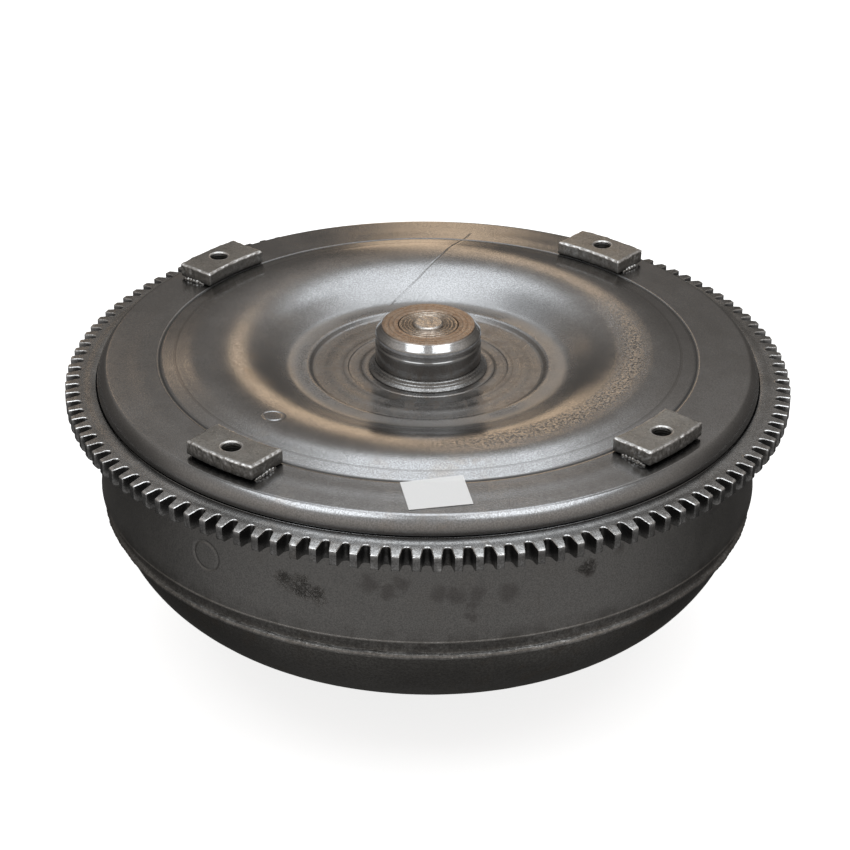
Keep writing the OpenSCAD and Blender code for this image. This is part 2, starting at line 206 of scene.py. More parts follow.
# ------ material tools


class Look:
    """A Principled material with short names for the nodes it is made from."""

    def __init__(self, name, **constants):
        self.mat = bpy.data.materials.new(name)
        self.mat.use_nodes = True
        self.tree = self.mat.node_tree
        self.tree.nodes.clear()
        out = self.add("ShaderNodeOutputMaterial")
        self.shader = self.add("ShaderNodeBsdfPrincipled")
        self.tree.links.new(self.shader.outputs[0], out.inputs[0])
        for socket, value in constants.items():
            self.shader.inputs[socket.replace("_", " ")].default_value = value
        self.place = self.add("ShaderNodeTexCoord").outputs["Object"]

    def add(self, kind):
        return self.tree.nodes.new(kind)

    def put(self, socket, value):
        if isinstance(value, bpy.types.NodeSocket):
            self.tree.links.new(value, socket)
        elif hasattr(socket.default_value, "__len__") and not hasattr(value, "__len__"):
            socket.default_value = [value] * 3 + [1] * (len(socket.default_value) - 3)
        elif hasattr(value, "__len__") and len(value) < len(socket.default_value):
            socket.default_value = list(value) + [1]
        else:
            socket.default_value = value

    def calc(self, operation, a, b=0.0):
        node = self.add("ShaderNodeMath")
        node.operation = operation
        for socket, value in zip(node.inputs, (a, b)):
            self.put(socket, value)
        return node.outputs[0]

    def times(self, a, b):
        return self.calc("MULTIPLY", a, b)

    def plus(self, a, b):
        return self.calc("ADD", a, b)

    def made(self, kind, output, **inputs):
        """An output of a new node, with the named inputs set or linked."""
        node = self.add(kind)
        for socket, value in inputs.items():
            self.put(node.inputs[socket], value)
        return node.outputs[output]

    def noise(self, scale, detail=4.0, rough=0.55, distort=0.0):
        return self.made("ShaderNodeTexNoise", "Fac", Vector=self.place, Scale=scale, Detail=detail,
                         Roughness=rough, Distortion=distort)

    def lines(self, scale, value):
        """Noise along one number only, such as the radius: turned lines."""
        noise = self.made("ShaderNodeTexNoise", "Fac", Scale=scale, Detail=3.0, Roughness=0.7)
        noise.node.noise_dimensions = "1D"
        self.put(noise.node.inputs["W"], value)
        return noise

    def span(self, value, low, high, to_low=0.0, to_high=1.0):
        """Goes smoothly from to_low to to_high as the value goes from low to high."""
        node = self.add("ShaderNodeMapRange")
        node.interpolation_type = "SMOOTHSTEP"
        for socket, v in zip(node.inputs, (value, low, high, to_low, to_high)):
            self.put(socket, v)
        return node.outputs[0]

    def mix(self, share, a, b):
        node = self.add("ShaderNodeMix")
        node.data_type = "RGBA"
        for index, value in ((0, share), (6, a), (7, b)):
            self.put(node.inputs[index], value)
        return node.outputs[2]

    def over(self, tone, mask, share, color):
        """The tone with a share of a colour laid over it where the mask is 1."""
        return self.mix(self.times(mask, share), tone, color)

    def axis(self, index):
        return self.made("ShaderNodeSeparateXYZ", index, Vector=self.place)

    def radius(self):
        """Distance from the axis, in metres."""
        x, y = self.axis(0), self.axis(1)
        return self.calc("SQRT", self.plus(self.times(x, x), self.times(y, y)))

    def turned(self):
        """The angle about the axis, in radians."""
        return self.calc("ARCTAN2", self.axis(1), self.axis(0))

    def near(self, value, centre, width):
        """1 where the value is at the centre, falling to 0 at the width."""
        gap = self.calc("ABSOLUTE", self.calc("SUBTRACT", value, centre))
        return self.span(gap, 0.0, width, 1.0, 0.0)

    def blob(self, point, size, place):
        """1 near a point, falling to 0 at the size; the place may be warped."""
        node = self.add("ShaderNodeVectorMath")
        node.operation = "DISTANCE"
        self.put(node.inputs[0], place)
        node.inputs[1].default_value = point
        return self.span(node.outputs["Value"], size * 0.25, size, 1.0, 0.0)

    def warped(self, amount, scale):
        """The place pushed about by noise, for ragged edges."""
        noise = self.made("ShaderNodeTexNoise", "Color", Vector=self.place, Scale=scale, Detail=4.0)
        centred = self.add("ShaderNodeVectorMath")
        centred.operation = "SUBTRACT"
        self.put(centred.inputs[0], noise)
        centred.inputs[1].default_value = (0.5, 0.5, 0.5)
        shift = self.add("ShaderNodeVectorMath")
        shift.operation = "MULTIPLY_ADD"
        self.put(shift.inputs[0], centred.outputs[0])
        shift.inputs[1].default_value = (amount, amount, amount)
        self.put(shift.inputs[2], self.place)
        return shift.outputs[0]

    def worn(self, name="wear"):
        """A value painted on the mesh's vertices."""
        node = self.add("ShaderNodeAttribute")
        node.attribute_name = name
        return node.outputs["Fac"]

    def bump(self, height, distance, strength, under=None):
        bumped = self.made("ShaderNodeBump", 0, Height=height, Distance=distance, Strength=strength)
        if under is not None:
            self.put(bumped.node.inputs["Normal"], under)
        return bumped

    def finish(self, color, roughness, normal):
        """Wires the shader up and hands over the material."""
        for socket, value in (("Base Color", color), ("Roughness", roughness), ("Normal", normal)):
            self.put(self.shader.inputs[socket], value)
        return self.mat


# ------ materials

# Marks on the cover's wall: (angle in degrees, height from the gear's face, size)
WALL_SMUDGES = [
    (-99, -22, 6), (-94, -21, 5), (-96, -25, 5), (-88, -25.5, 5), (-85.5, -26, 6), (-82, -26, 5.5),
    (-77, -26.5, 6), (-83, -31, 4), (-83, -36, 3.5), (-64, -24, 4), (-58, -17, 4), (40, -25, 7),
    (130, -30, 6)]
WALL_SCARS = [(-113, -25.5, 5.5), (-110, -28, 7), (-107.5, -30.5, 5), (-64, -22, 5), (-48, -16, 3.5)]


def shade(color, share, most=1.0):
    return tuple(min(most, c * share) for c in color)


def grained(look, base, dark, warm, rough_low, rough_high, grain=1500, bump=0.00002, film_share=0.6):
    """Shared base of the steels: drifting tone, warm film, fine grain, patchy gloss."""
    drift = look.noise(17, 5, 0.6)
    patch = look.noise(75, 6, 0.65, distort=0.3)
    fine = look.noise(grain, 2, 0.8)
    tone = look.mix(look.span(drift, 0.38, 0.64, 0.0, 0.6), base, dark)
    film = look.times(look.span(patch, 0.5, 0.68), look.span(look.noise(11, 3), 0.44, 0.6, 0.0, film_share))
    tone = look.mix(film, tone, warm)
    tone = look.mix(look.span(fine, 0.38, 0.62, 0.0, 0.55), tone, shade(dark, 0.62))
    gloss = look.plus(look.times(patch, 0.5), look.times(fine, 0.5))
    gloss = look.span(gloss, 0.35, 0.65, rough_low, rough_high)
    under = look.bump(fine, bump, 0.8)
    return tone, gloss, look.bump(patch, bump * 2.5, 0.3, under)


def wall_marks(look, marks, stains):
    """1 inside any of the listed marks on the cover's wall, 0 elsewhere."""
    found = 0.0
    for angle, height, size in marks:
        turn = radians(angle)
        where = (WALL_R * MM * cos(turn), WALL_R * MM * sin(turn), FACE + height * MM)
        found = look.calc("MAXIMUM", found, look.blob(where, size * MM, stains))
    return found


def cover_steel():
    look = Look("cover_steel_look", Metallic=1.0)
    tone, gloss, normal = grained(look, (0.375, 0.38, 0.39), (0.3, 0.302, 0.306), (0.34, 0.29, 0.235),
                                  0.15, 0.25, 1700, 0.00003, 0.35)
    r, z, turn = look.radius(), look.axis(2), look.turned()
    rings = look.lines(1500, r)
    coarse_rings = look.lines(330, r)
    on_top = look.span(z, FACE + 0.0003, FACE + 0.0012)
    on_floor = look.span(r, 0.049, 0.053, 1.0, 0.0)
    # light rust and old oil on the bowl's floor
    crust = look.noise(160, 8, 0.72, distort=0.6)
    rust = look.times(on_floor, look.span(crust, 0.47, 0.62))
    tone = look.over(tone, on_floor, 0.35, (0.2, 0.185, 0.17))
    tone = look.over(tone, rust, 0.5, (0.17, 0.125, 0.088))
    dull_rings = look.times(on_floor, look.span(look.lines(260, r), 0.5, 0.7))
    tone = look.over(tone, dull_rings, 0.5, (0.1, 0.09, 0.08))
    # pitted band round the bulge, strongest on one side
    side = look.span(look.calc("COSINE", look.calc("SUBTRACT", turn, -0.5)), 0.4, 0.95)
    pits = look.times(look.near(r, 0.0895, 0.0095), side)
    pitted = look.times(pits, look.span(look.noise(900, 5, 0.8, distort=0.3), 0.5, 0.6))
    tone = look.over(tone, pitted, 0.78, (0.12, 0.1, 0.08))
    # chatter marks at the foot of the bowl
    spot = look.times(look.near(r, 0.0555, 0.004), look.span(look.noise(28, 3, 0.5), 0.46, 0.58))
    chatter = look.times(spot, look.span(look.noise(1500, 2, 0.6), 0.4, 0.62))
    tone = look.over(tone, chatter, 0.6, (0.07, 0.063, 0.056))
    # fine scratches that run round the foot of the bulge
    scratched = look.times(look.near(r, 0.1115, 0.0065), look.span(coarse_rings, 0.55, 0.68))
    tone = look.over(tone, scratched, 0.5, (0.12, 0.115, 0.11))
    # painted shade in the groove at the foot of the bulge, and a painted shadow in the joint with the gear
    groove = look.times(look.near(r, 0.11675, 0.0012), on_top)
    tone = look.over(tone, groove, 0.85, (0.04, 0.037, 0.034))
    gap = look.times(look.near(r, WALL_R * MM, 0.0009), look.span(z, FACE - 0.002, FACE - 0.0005))
    tone = look.mix(gap, tone, (0.015, 0.013, 0.012))
    # the wall is duller and rougher than the top, and its colour is darkened as painted shade
    wall = look.span(z, FACE - 0.003, FACE + 0.001, 1.0, 0.0)
    wall_grain = look.noise(1700, 3, 0.75)
    wall_shade_tone = look.mix(look.span(wall_grain, 0.36, 0.64), (0.17, 0.168, 0.164), (0.31, 0.305, 0.298))
    tone = look.over(tone, wall, 0.85, wall_shade_tone)
    stains = look.warped(0.007, 230)
    tone = look.over(tone, wall_marks(look, WALL_SMUDGES, stains), 0.42, (0.08, 0.07, 0.067))
    scars = look.times(wall_marks(look, WALL_SCARS, stains), look.span(look.noise(750, 5, 0.8), 0.44, 0.56))
    tone = look.over(tone, scars, 0.75, (0.09, 0.085, 0.08))
    # fretted, dirtier zone near the wall's lower end
    low_z = FACE + WALL_LOW * MM
    low_band = look.times(wall, look.span(z, low_z + MM, low_z + 9 * MM, 1.0, 0.0))
    fretting = look.span(look.noise(90, 5, 0.7), 0.4, 0.65, 0.1, 0.6)
    tone = look.over(tone, low_band, fretting, (0.09, 0.085, 0.08))
    bowl_foot = look.near(r, 0.058, 0.011)
    for mask, amount in ((wall, 0.18), (on_floor, 0.08), (rust, 0.15), (pitted, 0.15), (groove, 0.4),
                         (bowl_foot, 0.14)):
        gloss = look.plus(gloss, look.times(mask, amount))
    for height, distance, strength in (
            (look.times(rings, on_floor), 0.00006, 0.8), (coarse_rings, 0.00001, 0.5),
            (look.plus(pitted, chatter), -0.00012, 0.8), (look.times(wall_grain, wall), 0.00007, 0.8),
            (scars, -0.00035, 0.9)):
        normal = look.bump(height, distance, strength, normal)
    return look.finish(tone, gloss, normal)


def bright_steel(name, base=(0.55, 0.555, 0.565), scale=1500):
    """Machined steel with turned lines."""
    look = Look(name, Metallic=1.0)
    tone, gloss, normal = grained(look, base, shade(base, 0.7), (0.4, 0.31, 0.22), 0.1, 0.2, film_share=0.5)
    along = look.plus(look.radius(), look.axis(2))
    lines = look.lines(scale, along)
    broad = look.lines(scale / 4, along)
    tone = look.mix(look.span(broad, 0.5, 0.75, 0.0, 0.5), tone, shade(base, 0.45))
    return look.finish(tone, gloss, look.bump(lines, 0.00003, 0.6, normal))


def pilot_steel():
    """Bright turned sides with painted shade and dark reflection on the lower part, and a rust-stained,
    coarsely turned top.
    """
    look = Look("pilot_steel_look", Metallic=1.0)
    tone, gloss, normal = grained(look, (0.6, 0.605, 0.615), (0.5, 0.5, 0.5), (0.45, 0.37, 0.28), 0.07, 0.16,
                                  film_share=0.3)
    r, z = look.radius(), look.axis(2)
    lines = look.lines(1500, look.plus(r, z))
    bands = look.lines(420, z)
    tone = look.mix(look.span(bands, 0.5, 0.7, 0.0, 0.6), tone, (0.24, 0.24, 0.245))
    # painted shade and dark reflection on the lower sides
    film = look.times(look.span(z, FACE + 0.0045, FACE + 0.006),
                      look.span(z, FACE + 0.0135, FACE + 0.0165, 1.0, 0.0))
    tone = look.over(tone, film, 0.75, (0.2, 0.198, 0.195))
    top = look.span(z, FACE + (PILOT_TOP - 0.5) * MM, FACE + (PILOT_TOP - 0.1) * MM)
    turned = look.lines(900, r)
    rust = look.mix(look.span(look.noise(700, 4, 0.75), 0.4, 0.6), (0.3, 0.19, 0.115), (0.42, 0.34, 0.27))
    rust = look.mix(look.span(turned, 0.5, 0.68, 0.0, 0.6), rust, (0.1, 0.07, 0.05))
    tone = look.over(tone, top, 0.85, rust)
    normal = look.bump(lines, 0.00003, 0.6, normal)
    normal = look.bump(look.times(turned, top), 0.00009, 0.9, normal)
    return look.finish(tone, look.plus(gloss, look.times(top, 0.18)), normal)


def plain_steel(name, base, dark, warm, low, high, grain, bump, speckle=0.0):
    """Duller steel; one number on the mesh brightens its edges as wear, and a second darkens its hollows with
    grime and painted shade.
    """
    look = Look(name, Metallic=1.0)
    tone, gloss, normal = grained(look, base, dark, warm, low, high, grain, bump)
    chips = look.noise(1100, 3, 0.75)
    if speckle:
        tone = look.mix(look.span(chips, 0.62, 0.7, 0.0, speckle), tone, shade(base, 2.6))
        pits = look.span(look.noise(620, 4, 0.7, distort=0.4), 0.36, 0.44, speckle, 0.0)
        tone = look.mix(pits, tone, shade(base, 0.3))
    wear = look.times(look.worn(), look.span(chips, 0.36, 0.6, 0.35, 1.0))
    tone = look.mix(wear, tone, shade(base, 2.6, 0.8))
    # grime and painted shade in the hollows, read from the mesh
    dirt_and_shade = look.times(look.worn("grime_and_shade"), look.span(look.noise(300, 4), 0.3, 0.55, 0.75, 1.0))
    tone = look.mix(dirt_and_shade, tone, shade(base, 0.12))
    return look.finish(tone, look.plus(gloss, look.times(dirt_and_shade, 0.25)), normal)


def soft_look(name, base, dark, low, high, scale, bump):
    """Paper, rubber, plastic and friction lining: fibres or fine mottling, no metal."""
    look = Look(name, Metallic=0.0)
    mottle = look.noise(scale, 5, 0.6)
    tone = look.mix(look.span(mottle, 0.35, 0.65), base, dark)
    return look.finish(tone, look.span(mottle, 0.3, 0.7, low, high), look.bump(mottle, bump, 0.6))


# Base, dark and warm tones, least and most roughness, grain scale, bump depth in metres, share of speckle
PLAIN_STEELS = {
    "plug_steel": ((0.42, 0.37, 0.32), (0.24, 0.18, 0.14), (0.4, 0.28, 0.18), 0.16, 0.34, 800, 0.00009, 0.7),
    "pad_steel": ((0.37, 0.36, 0.342), (0.235, 0.228, 0.216), (0.31, 0.262, 0.21),
                  0.27, 0.42, 1100, 0.00011, 0.55),
    "weld_metal": ((0.4, 0.395, 0.385), (0.2, 0.195, 0.19), (0.22, 0.18, 0.14),
                   0.26, 0.45, 800, 0.00016, 0.6),
    "gear_steel": ((0.37, 0.372, 0.375), (0.17, 0.168, 0.165), (0.22, 0.19, 0.16),
                   0.19, 0.32, 1200, 0.00009, 0.35),
    "shell_steel": ((0.17, 0.167, 0.16), (0.095, 0.093, 0.089), (0.13, 0.11, 0.09),
                    0.3, 0.46, 1000, 0.0001, 0.3),
    "blade_steel": ((0.45, 0.44, 0.42), (0.3, 0.29, 0.28), (0.36, 0.28, 0.2), 0.25, 0.4, 1500, 0.00002),
    "plate_steel": ((0.4, 0.39, 0.38), (0.26, 0.25, 0.245), (0.3, 0.24, 0.18), 0.25, 0.4, 1500, 0.00002),
    "spring_steel": ((0.3, 0.31, 0.34), (0.2, 0.2, 0.22), (0.26, 0.23, 0.2), 0.2, 0.32, 2000, 0.00001),
    "cage_brass": ((0.62, 0.45, 0.2), (0.48, 0.33, 0.14), (0.4, 0.25, 0.12), 0.22, 0.36, 1600, 0.00002),
    "stator_aluminium": ((0.68, 0.69, 0.7), (0.52, 0.53, 0.54), (0.5, 0.46, 0.4), 0.32, 0.5, 1200, 0.00006),
}
# Two tones, least and most roughness, grain scale, bump depth in metres
SOFT_LOOKS = {
    "lining": ((0.16, 0.12, 0.08), (0.1, 0.075, 0.05), 0.75, 0.95, 1600, 0.0001),
    "washer_plastic": ((0.42, 0.3, 0.16), (0.36, 0.25, 0.13), 0.35, 0.5, 300, 0.00002),
    "seal_rubber": ((0.03, 0.03, 0.03), (0.02, 0.02, 0.02), 0.45, 0.6, 900, 0.00002),
    "label_paper": ((0.69, 0.695, 0.7), (0.67, 0.675, 0.68), 0.4, 0.55, 2600, 0.00001),
}
looks = {
    "cover_steel": cover_steel(),
    "pilot_steel": pilot_steel(),
    "hub_steel": bright_steel("hub_steel_look"),
    "race_steel": bright_steel("race_steel_look", (0.62, 0.61, 0.6), 2000),
}
looks.update({slot: plain_steel(f"{slot}_look", *numbers) for slot, numbers in PLAIN_STEELS.items()})
looks.update({slot: soft_look(f"{slot}_look", *numbers) for slot, numbers in SOFT_LOOKS.items()})

# ------ front cover


def ring_height(r):
    """Height of the cover's flat ring, which falls a little towards the rim."""
    flat = 9.15 - (r - 117.6) * 1.05 / 22.2
    return flat + 0.05 * sin((r - 121.5) / 2.6) * exp(-(((r - 125) / 6) ** 2))


COVER_T = 4.8  # thickness of the cover at its floor
FLOOR_Z = 0.9
SPIGOT_R = 18.05  # hole in the cover that the pilot's spigot fills


def cover_outside():
    """The cover's outer side from the wall's lower end to the bore."""
    sharp = [(WALL_R - 0.6, WALL_LOW), (WALL_R + 0.35, WALL_LOW + 0.3), (WALL_R + 0.3, WALL_LOW + 0.75),
             (WALL_R - 0.02, WALL_LOW + 1.15), (WALL_R, WALL_LOW + 3), (WALL_R, -0.9), (WALL_R - 0.75, -0.1)]
    shoulder = arc(WALL_R - 9.6, 0.5, 9.2, 0, 55.5, 14)
    ring = [(r, ring_height(r)) for r in range(139, 118, -1)]
    groove = [(117.4, ring_height(117.4)), (117.1, 8.95), (116.7, 8.98), (116.3, 9.32)]
    crest = arc(97, -37, 49, 76.9, 90, 16) + arc(97, -58, 70, 90.8, 112, 28)
    bowl = [(62.6, 3.58), (61.7, 3.24), (60.6, 2.95), (59.2, 2.75), (57.5, 2.64), (55, 2.57), (53.2, 2.56)]
    step_z = FLOOR_Z - 0.35
    floor = [(52.6, 2.5), (51.7, 2.2), (50.4, 1.15), (49.4, FLOOR_Z), (34.95, FLOOR_Z), (34.6, step_z),
             (29.3, step_z), (29, FLOOR_Z), (SPIGOT_R, FLOOR_Z)]
    low = rounded(sharp, 0.3, 3, closed=False)
    groove = rounded(groove, 0.3, 3, closed=False)
    return low + shoulder + ring + groove + crest + bowl + rounded(floor, 0.2, 2, closed=False)


def cover_inside():
    skirt, lip, lip_z = WALL_R - 4.6, WALL_R - 3.05, WALL_LOW + 7.7
    dish = [(SPIGOT_R, FLOOR_Z - COVER_T), (50, FLOOR_Z - COVER_T + 0.2), (62, -1.5), (68, 0.6), (73, 2.9),
            (80, 5.1), (88, 6.6), (97, 7.2), (107, 5.6), (113, 3)]
    return dish + arc(skirt - 5, -2, 5, 90, 0, 8) + [(skirt, lip_z), (lip, lip_z), (lip, WALL_LOW)]


SURFACE = sorted(cover_outside()[4:])


def ring_surface(r):
    """Height of the cover's outer side at a radius."""
    if r <= SURFACE[0][0]:
        return SURFACE[0][1]
    for (r0, z0), (r1, z1) in zip(SURFACE, SURFACE[1:]):
        if r <= r1:
            return z0 + (z1 - z0) * (r - r0) / max(1e-6, r1 - r0)
    return SURFACE[-1][1]


def near_path(x, y, path):
    """Distance in mm from a point to a line of points."""
    best = 1e9
    p = Vector((x, y))
    for a, b in zip(path, path[1:]):
        a, b = Vector(a), Vector(b)
        t = max(0.0, min(1.0, (p - a).dot(b - a) / (b - a).length_squared))
        best = min(best, (a.lerp(b, t) - p).length)
    return best


# Marks cut or stamped into the cover, all in mm
SCRIBED = [(-18.4, 56), (-4.2, 75), (6, 92.5), (20.4, 124)]
PUNCH_RING = (-63.2, -67.5)  # small ring stamp on the bulge
PUNCH_R = 4.2
SCRIBED_HALF, SCRIBED_DEPTH = 0.32, 0.16
PUNCH_HALF, PUNCH_DEPTH = 0.6, 0.22
STAMP_HALF, STAMP_DEPTH = 0.75, 0.3
WALL_STAMP = (radians(-128), -27)  # angle and height of the ring stamped into the wall
WALL_STAMP_R = 6.4


def from_stamp(v):
    """Distance from the middle line of the ring stamped into the wall, mm."""
    turn = remainder(atan2(v.y, v.x) - WALL_STAMP[0], TAU)
    return abs(hypot(turn * WALL_R, v.z - WALL_STAMP[1]) - WALL_STAMP_R)


def pressed(gap, half_width, depth):
    """Depth of a round-bottomed groove at a distance from its middle line."""
    return depth * max(0, 1 - (gap / half_width) ** 2)


def from_punch(x, y):
    return abs(dist((x, y), PUNCH_RING) - PUNCH_R)


def refine(bm, chosen, cuts):
    """Splits the faces whose middles are chosen."""
    faces = [f for f in bm.faces if chosen(f.calc_center_median())]
    edges = list({e for f in faces for e in f.edges})
    bmesh.ops.subdivide_edges(bm, edges=edges, cuts=cuts, use_grid_fill=True)


def build_cover():
    outside = filled(cover_outside(), 1.6, closed=False)
    inside = filled(cover_inside(), 9, closed=False)
    bm = lathe(outside + inside, 480)

    def on_outside(c):
        return c.z > ring_surface(c.xy.length) - 1

    refine(bm, lambda c: c.z > 0 and near_path(c.x, c.y, SCRIBED) < 2.2 and on_outside(c), 3)
    refine(bm, lambda c: c.z > 6 and from_punch(c.x, c.y) < 1.8 and on_outside(c), 3)
    refine(bm, lambda c: c.z < -8 and c.xy.length > WALL_R - 1 and from_stamp(c) < 2, 4)
    for v in bm.verts:
        r = v.co.xy.length
        x, y, z = v.co
        if z > ring_surface(r) - 0.4 and r < WALL_R - 1 and z > FLOOR_Z - 0.5:
            v.co.z += 0.06 * wobble(x, y, 0, 38) + 0.012 * wobble(x, y, 7, 9)
            if 26 < r < 49:  # turned rings on the floor
                v.co.z += 0.075 * sin((r - 26) / 1.15 + 0.8 * wobble(x, y, 3, 40))
            if y > 50 and abs(x) < 26:
                v.co.z -= pressed(near_path(x, y, SCRIBED), SCRIBED_HALF, SCRIBED_DEPTH)
            v.co.z -= pressed(from_punch(x, y), PUNCH_HALF, PUNCH_DEPTH)
        elif r > WALL_R - 0.6 and z < -1:
            push = 0.10 * wobble(x, y, z, 30) + 0.02 * wobble(x, y, z, 5)
            push -= pressed(from_stamp(v.co), STAMP_HALF, STAMP_DEPTH)
            v.co.xy = v.co.xy * (1 + push / r)
    finish_piece("front_cover_skin", bm, "casing", "front_cover", "cover_steel", 40)


build_cover()

# ------ pilot


def build_pilot():
    """The hub with one groove and a broken shoulder, its plug with three rings and a nub, and its weld."""
    r, bore, step, top = PILOT_R, 13.05, 11.5, PILOT_TOP
    low = FLOOR_Z - COVER_T
    outer = [(step, low), (18, low), (18, FLOOR_Z), (r - 0.1, FLOOR_Z), (r + 0.1, 3.4), (r, 4.4),
             (r, 13.2), (r - 0.5, 13.7), (r - 0.5, 15.4), (r, 15.9), (r, 17.5), (r - 0.3, 18.15),
             (r - 1.6, 19.7), (r - 2.9, 21.2), (r - 3.8, top), (bore + 0.2, top), (bore, top - 0.25),
             (bore, top - 6), (step, top - 6)]
    bm = lathe(filled(rounded(outer, 0.35, 3), 1.2), 256)
    finish_piece("pilot_hub_turned", bm, "casing", "pilot_hub", "pilot_steel", 34)
    plug = [(0, top - 5.9), (13, top - 5.9), (13, top - 0.4), (12.7, top - 0.05)]
    for ring_r in (11.2, 9.6, 8.2):
        plug += [(ring_r + 0.45, top - 0.05), (ring_r, top - 0.3), (ring_r - 0.45, top - 0.05)]
    plug += [(7.3, top - 0.1), (6.9, top - 0.3), (6.5, top + 0.55), (5.8, top + 0.95), (0, top + 0.85)]
    bm = lathe(filled(rounded(plug, 0.25, 3, closed=False), 0.8, closed=False), 160, closed=False)
    wear = painted(bm, "wear")
    for v in bm.verts:
        v[wear] = 0.5 if v.co.z > top + 0.1 else 0.0
        if v.co.z > top - 0.7:
            v.co.z += 0.05 * wobble(v.co.x, v.co.y, 3, 2.2)
    finish_piece("pilot_plug_turned", bm, "casing", "pilot_plug", "plug_steel", 34)
    bead = [(23.1, FLOOR_Z + 0.02), (26.0, FLOOR_Z + 0.02), (25.9, 1.4), (25.2, 1.9), (24.7, 2.3),
            (24.3, 3.0), (24.0, 3.3), (23.6, 4.3), (23.2, 4.6), (23.15, 5.4)]
    bm = lathe(filled(rounded(bead, 0.4, 3), 0.5), 300)
    finish_piece("pilot_foot_weld", bm, "casing", "pilot_weld", "weld_metal", 40, look="gear_steel")


build_pilot()

# ------ ring gear

TEETH = 122
GEAR_MODULE = 2.54
GULLET_R = GEAR_TIP - 2.5 * GEAR_MODULE
GEAR_LIFT = 0.3  # how far the visible face stands above the CAD gear's
GEAR_STEP_R, GEAR_STEP = 148.3, 0.12  # a low step on the front face
TOOTH_SLOPE_R, TOOTH_SLOPE = GEAR_TIP - 4.6, 0.15
BOTTOM_BEVEL = 1.5
EDGE_INSET = 0.28  # width of the teeth's broken edges


def tooth_outline():
    """(radius, angle in tooth steps) round one tooth, from one gullet's middle to the next."""
    pitch = GEAR_TIP - GEAR_MODULE
    half = [(GULLET_R, -0.5), (GULLET_R + 0.06, -0.43), (GULLET_R + 0.35, -0.365), (GULLET_R + 0.9, -0.315),
            (GULLET_R + 1.8, -0.275), (pitch, -0.24), (pitch + 1.2, -0.212), (GEAR_TIP - 0.5, -0.195),
            (GEAR_TIP - 0.12, -0.178), (GEAR_TIP, -0.155), (GEAR_TIP, -0.05)]
    return half + [(r, -a) for r, a in reversed(half)][:-1]


def gear_top(r):
    """The gear's front face: a low step near its bore and a slope over the teeth."""
    base = GEAR_LIFT if r > GEAR_STEP_R else GEAR_LIFT + GEAR_STEP
    return base - max(0.0, r - TOOTH_SLOPE_R) * TOOTH_SLOPE


def gear_bottom(r):
    return GEAR_LOW + max(0.0, r - (GEAR_TIP - BOTTOM_BEVEL))


def gear_column(p, edge_in, samples, bore):
    """(x, y, z, wear, darkening) down the gear's section through the outline's point p; the darkening is
    grease with painted shade, deepest in the gullets.
    """
    turn = atan2(edge_in.y, edge_in.x)
    limit, r = edge_in.length, p.length
    c, s = cos(turn), sin(turn)
    x, y = p
    nick = 0.5 * wobble(x, y, 1, 2.6) + 0.5 * wobble(x, y, 4, 11)
    chip = max(0.0, wobble(x, y, 9, 3.1) - 0.25) * 2.2
    edge = p * (1 + 0.09 * nick / r)
    # deep: how far down a gullet, which sets the grease and painted shade there
    deep = 1.0 - min(1.0, max(0.0, (r - GULLET_R) / (GEAR_TIP - 0.5 - GULLET_R)))
    # painted shade in the joint with the cover and under the gear
    column = [(bore * c, bore * s, gear_top(bore) - 0.1, 0, 1)]
    for q in samples:
        q = min(q, limit - 0.02)
        column.append((q * c, q * s, gear_top(q) + 0.03 * wobble(q * c, q * s, 2, 4), 0, 0))
    column += [
        (edge_in.x, edge_in.y, gear_top(limit), 0.55, 0),
        (edge.x, edge.y, gear_top(r) - 0.26, 0.9, 0.2 * deep),
        (edge.x, edge.y, gear_top(r) - 1.0, 0.15, deep),
        (edge.x, edge.y, -2.7, 0, 0.3 + 0.7 * deep),
        (edge.x, edge.y, gear_bottom(r) + 0.35, chip, 0.8 * deep),
        (edge_in.x, edge_in.y, gear_bottom(limit) + 0.25 * nick, 0.1 + chip, 0.8 * deep)]
    for q in (min(154.5, limit - 0.02), min(150.5, limit - 0.02)):
        column.append((q * c, q * s, gear_bottom(q), 0, 0.5))
    return column + [(bore * c, bore * s, GEAR_LOW, 0, 0.5)]


def build_gear():
    bore = WALL_R + 0.05
    outline = []
    for i in range(TEETH):
        for r, a in tooth_outline():
            turn = (i + a) * TAU / TEETH
            outline.append(Vector((r * cos(turn), r * sin(turn))))
    count = len(outline)
    samples = [bore + 0.4, 147.9, 148.4, 149.8, GULLET_R, TOOTH_SLOPE_R, 154.2, 155.6]
    bm = bmesh.new()
    wear = painted(bm, "wear")
    grime_and_shade = painted(bm, "grime_and_shade")
    columns = []
    for k, p in enumerate(outline):
        along = (outline[(k + 1) % count] - outline[k - 1]).normalized()
        edge_in = p + Vector((-along.y, along.x)) * EDGE_INSET
        verts = []
        for x, y, z, worn, dirty in gear_column(p, edge_in, samples, bore):
            v = bm.verts.new((x, y, z))
            v[wear] = min(1.0, worn)
            v[grime_and_shade] = dirty
            verts.append(v)
        columns.append(verts)
    for a, b in zip(columns, columns[1:] + columns[:1]):
        for i in range(len(a)):
            j = (i + 1) % len(a)
            bm.faces.new((a[i], b[i], b[j], a[j]))
    bmesh.ops.remove_doubles(bm, verts=bm.verts, dist=0.004)
    bmesh.ops.dissolve_degenerate(bm, dist=0.001, edges=bm.edges)
    bmesh.ops.recalc_face_normals(bm, faces=bm.faces)
    finish_piece("ring_gear_cut", bm, "casing", "ring_gear", "gear_steel", 28)


build_gear()

# ------ impeller shell and closing weld


SHELL_OUT_R, SHELL_IN_R = 53.0, 49.8  # radii of the shell's section


